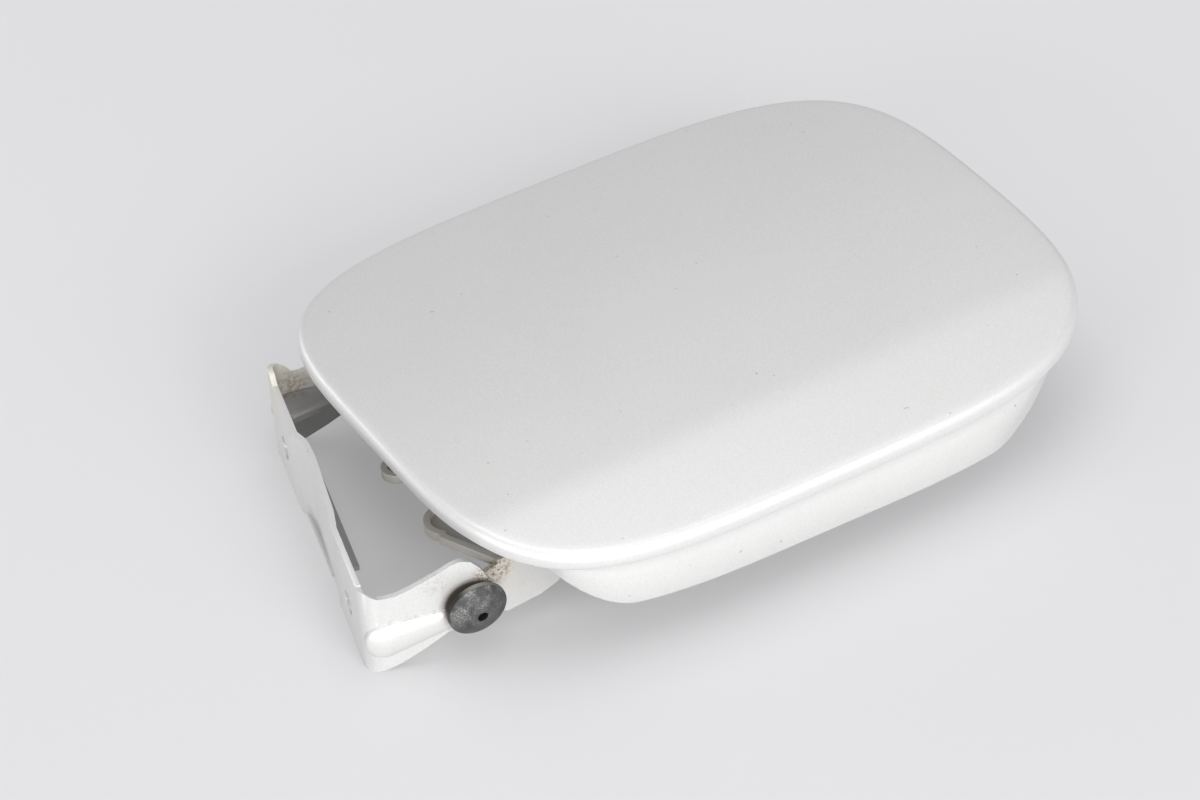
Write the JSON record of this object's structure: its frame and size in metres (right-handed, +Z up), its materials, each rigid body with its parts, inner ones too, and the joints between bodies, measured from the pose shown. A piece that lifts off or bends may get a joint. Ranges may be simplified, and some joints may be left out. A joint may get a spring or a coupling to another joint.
{
  "type": "car fuel door",
  "caption": "Crowned rounded-rectangle car fuel door with a deep skirt, folded hinge leaf and U-shaped body bracket, swinging up on a capped pivot pin.",
  "frame": {"origin": "midway between the two screw holes, on the outer face of the bracket's plate", "axes": "+X from the plate towards the door and square to the plate; +Y along the plate from the pivot side to the far side; +Z up through the door's outer face"},
  "size_m": [0.207, 0.166, 0.0416],
  "materials": {
    "door_paint": "silver metallic paint, satin, lightly weathered",
    "inner_paint": "thin silver paint over primer",
    "skirt_paint": "silver metallic paint, dusty",
    "mastic": "soft black mastic",
    "leaf_paint": "silver paint, light beige dust",
    "rivet_steel": "dull zinc plate",
    "bracket_paint": "silver paint, brown dirt and rust round the pivot",
    "pin_steel": "dull steel with light rust",
    "cap_plastic": "worn dark plastic with dirt",
    "bush_plastic": "black moulded plastic",
    "clip_steel": "blackened spring steel",
    "striker_steel": "zinc plate, worn at the catch",
    "stop_rubber": "soft black rubber",
    "holder_plastic": "black moulded plastic"
  },
  "bodies": {
    "bracket": {"body_bracket": "bracket_paint", "pivot_pin": "pin_steel", "pivot_cap": "cap_plastic", "pin_clip": "clip_steel"},
    "door": {"outer_skin": "door_paint", "inner_panel": "inner_paint", "side_skirt": "skirt_paint", "flutter_pads": "mastic", "hinge_leaf": "leaf_paint", "leaf_rivets": "rivet_steel", "pivot_bush": "bush_plastic", "latch_striker": "striker_steel", "striker_rivets": "rivet_steel", "near_bump_stop": "stop_rubber", "far_bump_stop": "stop_rubber", "cap_holder": "holder_plastic", "holder_pins": "holder_plastic"}
  },
  "joints": [
    {"name": "door_hinge", "type": "hinge", "parent": "bracket", "child": "door", "pos_m": [0.0285, -0.049, 0.0044], "axis": [0.2377, -0.9713, 0], "range_deg": [0, 50]}
  ]
}
